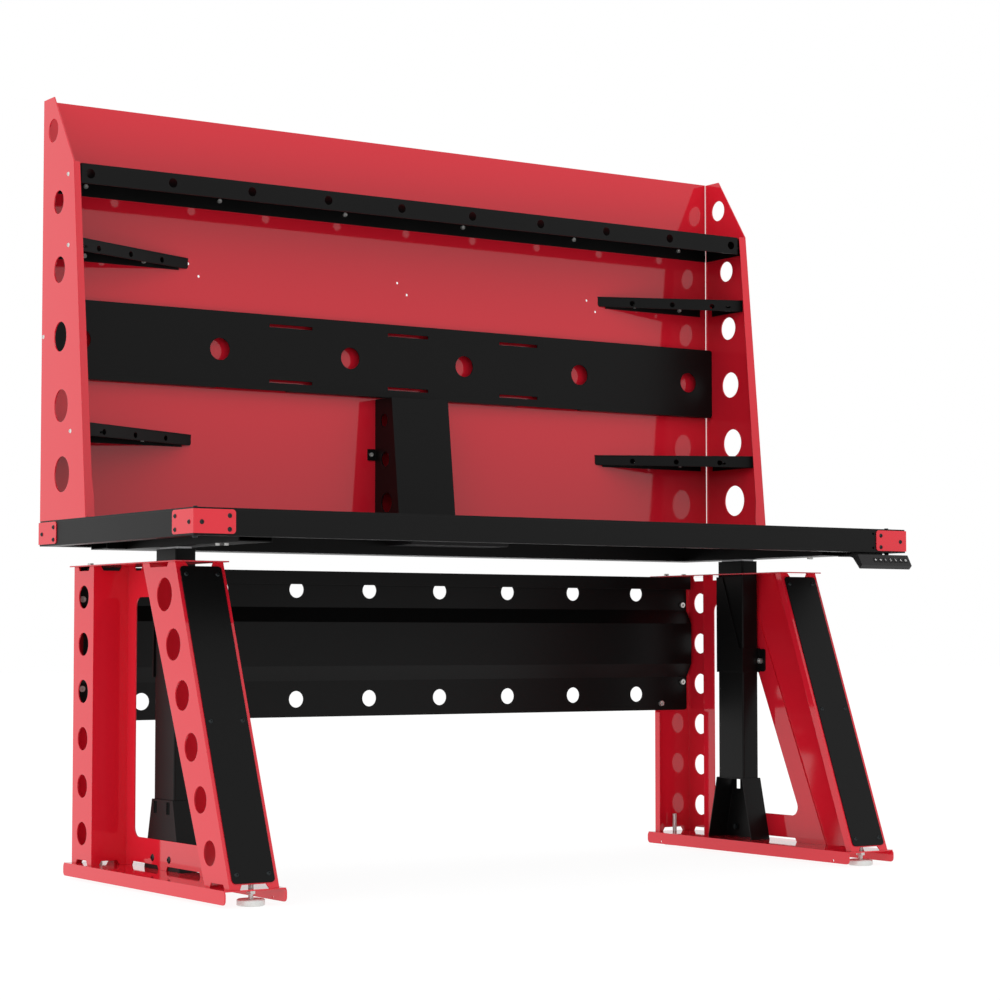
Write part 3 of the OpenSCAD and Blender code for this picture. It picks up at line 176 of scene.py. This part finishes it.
def orange_peel_group():
    """Ripple of a powder coat: the height for a Bump node, and a faint unevenness of the gloss."""
    group, start, end = new_group(
        "powder_coat_ripple",
        [("Scale", "NodeSocketFloat", 280.0), ("Roughness", "NodeSocketFloat", 0.3),
         ("Spread", "NodeSocketFloat", 0.04)],
        [("Height", "NodeSocketFloat"), ("Roughness", "NodeSocketFloat")])
    place = scaled(group, start.outputs["Scale"])
    ripple = group.nodes.new("ShaderNodeTexNoise")
    ripple.inputs["Scale"].default_value = 1.0
    ripple.inputs["Detail"].default_value = 2.0
    group.links.new(place, ripple.inputs["Vector"])
    group.links.new(ripple.outputs["Fac"], end.inputs["Height"])
    cloud = group.nodes.new("ShaderNodeTexNoise")
    cloud.inputs["Scale"].default_value = 5.0
    cloud.inputs["Detail"].default_value = 4.0
    spot = group.nodes.new("ShaderNodeTexCoord")
    group.links.new(spot.outputs["Object"], cloud.inputs["Vector"])
    shift = group.nodes.new("ShaderNodeMath")
    shift.operation = "MULTIPLY_ADD"
    centred = group.nodes.new("ShaderNodeMath")
    centred.operation = "SUBTRACT"
    centred.inputs[1].default_value = 0.5
    group.links.new(cloud.outputs["Fac"], centred.inputs[0])
    group.links.new(centred.outputs[0], shift.inputs[0])
    group.links.new(start.outputs["Spread"], shift.inputs[1])
    group.links.new(start.outputs["Roughness"], shift.inputs[2])
    group.links.new(shift.outputs[0], end.inputs["Roughness"])
    return group


def edge_group():
    """Thin coat on edges: 1 where the surface turns sharply, 0 on flats, and a rounded edge's normal."""
    group, start, end = new_group(
        "thin_coat_on_edges", [("Width", "NodeSocketFloat", 0.0012)],
        [("Mask", "NodeSocketFloat"), ("Normal", "NodeSocketVector")])
    bevel = group.nodes.new("ShaderNodeBevel")
    bevel.samples = 4
    group.links.new(start.outputs["Width"], bevel.inputs["Radius"])
    shape = group.nodes.new("ShaderNodeNewGeometry")
    dot = group.nodes.new("ShaderNodeVectorMath")
    dot.operation = "DOT_PRODUCT"
    group.links.new(bevel.outputs["Normal"], dot.inputs[0])
    group.links.new(shape.outputs["True Normal"], dot.inputs[1])
    group.links.new(remap(group, dot.outputs["Value"], 0.98, 0.75, 0.0, 1.0), end.inputs["Mask"])
    group.links.new(bevel.outputs["Normal"], end.inputs["Normal"])
    return group


def dust_group():
    """Fine dust that settles on what faces up, as a factor."""
    group, start, end = new_group(
        "settled_dust", [("Amount", "NodeSocketFloat", 0.05)], [("Mask", "NodeSocketFloat")])
    shape = group.nodes.new("ShaderNodeNewGeometry")
    split = group.nodes.new("ShaderNodeSeparateXYZ")
    group.links.new(shape.outputs["Normal"], split.inputs[0])
    up = remap(group, split.outputs["Z"], 0.3, 1.0, 0.0, 1.0)
    cloud = group.nodes.new("ShaderNodeTexNoise")
    cloud.inputs["Scale"].default_value = 9.0
    cloud.inputs["Detail"].default_value = 8.0
    spot = group.nodes.new("ShaderNodeTexCoord")
    group.links.new(spot.outputs["Object"], cloud.inputs["Vector"])
    patch = remap(group, cloud.outputs["Fac"], 0.35, 0.75, 0.2, 1.0)
    both = group.nodes.new("ShaderNodeMath")
    both.operation = "MULTIPLY"
    group.links.new(up, both.inputs[0])
    group.links.new(patch, both.inputs[1])
    amount = group.nodes.new("ShaderNodeMath")
    amount.operation = "MULTIPLY"
    group.links.new(both.outputs[0], amount.inputs[0])
    group.links.new(start.outputs["Amount"], amount.inputs[1])
    group.links.new(amount.outputs[0], end.inputs["Mask"])
    return group


GROUPS = {}


def shader_group(name):
    """The shared group of this name, built the first time that a material asks for it."""
    makers = {"ripple": orange_peel_group, "edges": edge_group, "dust": dust_group}
    if name not in GROUPS:
        GROUPS[name] = makers[name]()
    return GROUPS[name]


# ---------------------------------------------------------------- materials


def start_material(name):
    """A new material, its node tree and its Principled shader."""
    material = bpy.data.materials.new(name)
    material.use_nodes = True
    tree = material.node_tree
    shader = tree.nodes["Principled BSDF"]
    return material, tree, shader


def use_group(tree, name, **values):
    """Places a shared group in a material, with this material's own values."""
    node = tree.nodes.new("ShaderNodeGroup")
    node.node_tree = shader_group(name)
    for label, value in values.items():
        node.inputs[label].default_value = value
    return node


def mix_colour(tree, factor, first, second):
    """Blends two colours; each is a socket or a plain colour."""
    node = tree.nodes.new("ShaderNodeMix")
    node.data_type = "RGBA"
    tree.links.new(factor, node.inputs["Factor"])
    for socket, value in ((node.inputs[6], first), (node.inputs[7], second)):
        if hasattr(value, "is_linked"):
            tree.links.new(value, socket)
        else:
            socket.default_value = (*value, 1.0)
    return node.outputs[2]


def add_bump(tree, shader, height, strength, distance, rounded=None):
    """Feeds a height into the shader's normal, on top of a rounded edge's normal if there is one."""
    bump = tree.nodes.new("ShaderNodeBump")
    bump.inputs["Strength"].default_value = strength
    bump.inputs["Distance"].default_value = distance
    tree.links.new(height, bump.inputs["Height"])
    if rounded is not None:
        tree.links.new(rounded, bump.inputs["Normal"])
    tree.links.new(bump.outputs["Normal"], shader.inputs["Normal"])


def powder_coat(name, colour, edge_colour, roughness, spread, specular, peel, depth, dust):
    """Powder coat on sheet steel: ripple, thin paint on the edges, a little dust on top."""
    material, tree, shader = start_material(name)
    ripple = use_group(tree, "ripple", Scale=1.0 / peel, Roughness=roughness, Spread=spread)
    edges = use_group(tree, "edges", Width=0.0012)
    settled = use_group(tree, "dust", Amount=dust)
    painted = mix_colour(tree, edges.outputs["Mask"], colour, edge_colour)
    dusty = mix_colour(tree, settled.outputs["Mask"], painted, DUST)
    tree.links.new(dusty, shader.inputs["Base Color"])
    tree.links.new(ripple.outputs["Roughness"], shader.inputs["Roughness"])
    add_bump(tree, shader, ripple.outputs["Height"], 0.35, depth, edges.outputs["Normal"])
    shader.inputs["Specular IOR Level"].default_value = specular
    return material


def plated_steel(name, colour, roughness, grain, metallic=1.0):
    """Zinc-plated or drawn steel: fine grain in the gloss and a slightly uneven grey."""
    material, tree, shader = start_material(name)
    place = tree.nodes.new("ShaderNodeTexCoord")
    stretch = tree.nodes.new("ShaderNodeMapping")
    stretch.inputs["Scale"].default_value = grain
    noise = tree.nodes.new("ShaderNodeTexNoise")
    noise.inputs["Scale"].default_value = 60.0
    noise.inputs["Detail"].default_value = 6.0
    tree.links.new(place.outputs["Object"], stretch.inputs["Vector"])
    tree.links.new(stretch.outputs["Vector"], noise.inputs["Vector"])
    dull = tuple(0.72 * c for c in colour)
    tree.links.new(mix_colour(tree, noise.outputs["Fac"], dull, colour), shader.inputs["Base Color"])
    rough = tree.nodes.new("ShaderNodeMapRange")
    rough.inputs["To Min"].default_value = roughness - 0.08
    rough.inputs["To Max"].default_value = roughness + 0.08
    tree.links.new(noise.outputs["Fac"], rough.inputs["Value"])
    tree.links.new(rough.outputs["Result"], shader.inputs["Roughness"])
    shader.inputs["Metallic"].default_value = metallic
    add_bump(tree, shader, noise.outputs["Fac"], 0.12, 0.0002)
    return material


def moulded_plastic(name, colour, roughness):
    """Moulded plastic with a fine spark-eroded texture."""
    material, tree, shader = start_material(name)
    ripple = use_group(tree, "ripple", Scale=1400.0, Roughness=roughness, Spread=0.06)
    edges = use_group(tree, "edges", Width=0.0008)
    worn = tuple(1.8 * c + 0.004 for c in colour)
    tree.links.new(mix_colour(tree, edges.outputs["Mask"], colour, worn), shader.inputs["Base Color"])
    tree.links.new(ripple.outputs["Roughness"], shader.inputs["Roughness"])
    add_bump(tree, shader, ripple.outputs["Height"], 0.5, 0.0001, edges.outputs["Normal"])
    shader.inputs["Specular IOR Level"].default_value = 0.3
    return material


def printed_mark(name):
    """White ink, slightly uneven, for the marks on the keys."""
    material, tree, shader = start_material(name)
    ripple = use_group(tree, "ripple", Scale=900.0, Roughness=0.5, Spread=0.1)
    tree.links.new(ripple.outputs["Roughness"], shader.inputs["Roughness"])
    worn = mix_colour(tree, ripple.outputs["Height"], (0.86, 0.86, 0.85), (0.74, 0.74, 0.73))
    tree.links.new(worn, shader.inputs["Base Color"])
    add_bump(tree, shader, ripple.outputs["Height"], 0.2, 0.00005)
    return material


def make_materials():
    """One material for each finish, by the record's slot names."""
    look = finish_settings()
    red, black = tuple(look.red), tuple(look.black)
    peel = look.peel_size
    return {
        "red": powder_coat("red_powder_coat", red, tuple(min(1, 1.1 * c + 0.01) for c in red),
                           look.gloss, 0.03, 0.5, peel, 0.00003, 0.004),
        "black": powder_coat("black_powder_coat", black, tuple(c + 0.006 for c in black),
                             look.satin, 0.08, 0.13, peel * 0.6, 0.0001, 0.006),
        "worktop": powder_coat("worktop_powder_coat", black, tuple(c + 0.006 for c in black),
                               look.satin, 0.10, 0.13, peel * 0.6, 0.0001, 0.010),
        "black_tube": powder_coat("column_powder_coat", black, tuple(c + 0.004 for c in black),
                                  look.satin - 0.04, 0.06, 0.12, peel * 0.6, 0.0001, 0.004),
        "zinc": plated_steel("bright_zinc", tuple(look.zinc), 0.34, (1, 1, 1), 0.75),
        "zinc_tube": plated_steel("drawn_steel", (0.45, 0.45, 0.46), 0.30, (6, 6, 0.2)),
        "dark_screws": plated_steel("blackened_steel", (0.012, 0.017, 0.019), 0.40, (1, 1, 1), 0.5),
        "feet": plated_steel("matt_zinc", (0.80, 0.80, 0.78), 0.45, (1, 1, 1), 0.5),
        "black_plastic": moulded_plastic("textured_plastic", tuple(look.plastic), 0.5),
        "keys": moulded_plastic("key_rubber", tuple(look.plastic), 0.62),
    }


class WORKBENCH_OT_finishes(bpy.types.Operator):
    """Give every piece of the frame its finish"""

    bl_idname = "workbench.finishes"
    bl_label = "Apply finishes"

    def execute(self, context):
        materials = make_materials()
        for slot, material in materials.items():
            for piece in nodes_of(slot):
                for index in range(len(piece.material_slots)):
                    piece.material_slots[index].material = material
        return {"FINISHED"}


# ---------------------------------------------------------------- key marks


def lone(piece):
    """Makes this piece the only one that is selected."""
    bpy.ops.object.select_all(action="DESELECT")
    piece.select_set(True)
    bpy.context.view_layer.objects.active = piece


def raise_outline(ring_width, height):
    """Cuts the middle out of a flat shape and raises what is left."""
    bpy.ops.object.mode_set(mode="EDIT")
    bpy.ops.mesh.select_all(action="SELECT")
    if ring_width:
        bpy.ops.mesh.inset(thickness=ring_width, use_boundary=True)
        bpy.ops.mesh.delete(type="FACE")
        bpy.ops.mesh.select_all(action="SELECT")
    bpy.ops.mesh.extrude_region_move(TRANSFORM_OT_translate={"value": (0, 0, height)})
    bpy.ops.mesh.select_all(action="SELECT")
    bpy.ops.mesh.normals_make_consistent(inside=False)
    bpy.ops.object.mode_set(mode="OBJECT")


def arrow_mark(direction, size, height):
    """A hollow arrowhead that points up or down the key."""
    bpy.ops.mesh.primitive_circle_add(vertices=3, radius=0.5 * size, fill_type="NGON")
    piece = bpy.context.object
    if direction == "down":
        bpy.ops.transform.rotate(value=math.pi, orient_axis="Z", center_override=(0, 0, 0))
        bpy.ops.object.transform_apply(location=False, rotation=True, scale=False)
    raise_outline(0.12 * size, height)
    return piece


def ring_mark(size, height):
    """A ring, for the key that stores a height."""
    bpy.ops.mesh.primitive_circle_add(vertices=40, radius=0.42 * size, fill_type="NGON")
    raise_outline(0.12 * size, height)
    return bpy.context.object


def digit_mark(digit, size, height):
    """A digit, made a mesh and centred."""
    bpy.ops.object.text_add()
    piece = bpy.context.object
    piece.data.body = digit
    piece.data.size = 1.35 * size
    piece.data.align_x = "CENTER"
    piece.data.align_y = "CENTER"
    piece.data.resolution_u = 4
    piece.data.extrude = 0.5 * height
    piece.location = (0, 0, 0.5 * height)
    bpy.ops.object.convert(target="MESH")
    return bpy.context.object


KEY_MARKS = {"key_up": "up", "key_down": "down", "key_1": "1", "key_2": "2", "key_3": "3", "key_4": "4",
             "key_memory": "ring"}


class WORKBENCH_OT_marks(bpy.types.Operator):
    """Print the white marks on the handset's keys"""

    bl_idname = "workbench.marks"
    bl_label = "Key marks"

    def execute(self, context):
        look = finish_settings()
        material = printed_mark("printed_white")
        size, height, tilt = look.mark_size, look.mark_height, look.key_tilt
        outwards = Vector((0, -math.cos(tilt), math.sin(tilt)))
        for key, shape in KEY_MARKS.items():
            bpy.ops.object.select_all(action="DESELECT")
            if shape in {"up", "down"}:
                piece = arrow_mark(shape, size, height)
            elif shape == "ring":
                piece = ring_mark(size, height)
            else:
                piece = digit_mark(shape, size, height)
            piece.name = key + "_mark"
            lone(piece)
            low, high = (Vector(corner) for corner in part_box(key))
            lift = face_depth(low, high, tilt) + piece.location.z
            piece.rotation_euler = (math.radians(90) - tilt, 0, 0)
            piece.location = 0.5 * (low + high) + lift * outwards
            bpy.ops.object.transform_apply()
            piece.data.materials.clear()
            piece.data.materials.append(material)
            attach(piece, key)
        return {"FINISHED"}


def face_depth(low, high, tilt):
    """Distance from a tilted key's middle to its outer face, from its box and its square width."""
    width = high.x - low.x
    return 0.5 * (high.y - low.y - width * math.sin(tilt)) / math.cos(tilt)


# ---------------------------------------------------------------- studio


class WORKBENCH_OT_studio(bpy.types.Operator):
    """Set up the pale floor, the soft light and the camera"""

    bl_idname = "workbench.studio"
    bl_label = "Studio"

    def execute(self, context):
        look = studio_settings()
        scene = context.scene
        camera = bpy.data.cameras.new("studio_camera")
        camera.sensor_width = 36
        camera.lens = look.lens
        camera.clip_end = 100
        eye = bpy.data.objects.new("studio_camera", camera)
        eye.location = look.eye
        eye.rotation_euler = (math.radians(90) + look.rise, 0, -look.turn)
        scene.collection.objects.link(eye)
        scene.camera = eye
        scene.view_settings.view_transform = "Standard"
        world = bpy.data.worlds.new("studio_sky")
        world.use_nodes = True
        world.node_tree.nodes["Background"].inputs["Color"].default_value = (1, 1, 1, 1)
        world.node_tree.nodes["Background"].inputs["Strength"].default_value = look.sky
        scene.world = world
        self.add_side_light(look)
        self.add_floor()
        return {"FINISHED"}

    def add_side_light(self, look):
        """One wide soft light from the left, which lifts the faces that look that way."""
        bpy.ops.object.light_add(type="SUN", rotation=SIDE_LIGHT_TURN)
        light = bpy.context.object
        light.name = "side_light"
        light.data.energy = look.side_light
        light.data.angle = look.side_spread

    def add_floor(self):
        """A wide pale floor under the feet."""
        bpy.ops.object.select_all(action="DESELECT")
        bpy.ops.mesh.primitive_plane_add(size=FLOOR_SIZE, location=(0, 0, -FLOOR_DROP))
        floor = bpy.context.object
        floor.name = "studio_floor"
        material, tree, shader = start_material("studio_floor")
        shader.inputs["Base Color"].default_value = FLOOR_GREY
        shader.inputs["Roughness"].default_value = 1.0
        shader.inputs["Specular IOR Level"].default_value = 0.0
        shader.inputs["Emission Color"].default_value = (1, 1, 1, 1)
        shader.inputs["Emission Strength"].default_value = FLOOR_GLOW
        floor.data.materials.append(material)


# ---------------------------------------------------------------- panel and registration


class WORKBENCH_PT_panel(bpy.types.Panel):
    """The workbench's settings and steps"""

    bl_idname = "WORKBENCH_PT_panel"
    bl_label = "Workbench"
    bl_space_type = "VIEW_3D"
    bl_region_type = "UI"
    bl_category = "Workbench"

    def draw(self, context):
        layout = self.layout
        for settings in (finish_settings(), studio_settings()):
            column = layout.column(align=True)
            for prop in settings.bl_rna.properties:
                if not prop.is_readonly and prop.identifier not in {"name"}:
                    column.prop(settings, prop.identifier)
        for operator in OPERATORS:
            layout.operator(operator.bl_idname)


SETTINGS = (WorkbenchFinish, WorkbenchStudio)
OPERATORS = (WORKBENCH_OT_finishes, WORKBENCH_OT_marks, WORKBENCH_OT_studio)
CLASSES = (*SETTINGS, *OPERATORS, WORKBENCH_PT_panel)


def register():
    for cls in CLASSES:
        bpy.utils.register_class(cls)
    bpy.types.Scene.workbench_finish = bpy.props.PointerProperty(type=WorkbenchFinish)
    bpy.types.Scene.workbench_studio = bpy.props.PointerProperty(type=WorkbenchStudio)


def unregister():
    del bpy.types.Scene.workbench_studio
    del bpy.types.Scene.workbench_finish
    for cls in reversed(CLASSES):
        bpy.utils.unregister_class(cls)


def main():
    register()
    for operator in OPERATORS:
        group, name = operator.bl_idname.split(".")
        getattr(getattr(bpy.ops, group), name)()


if __name__ == "__main__":
    main()
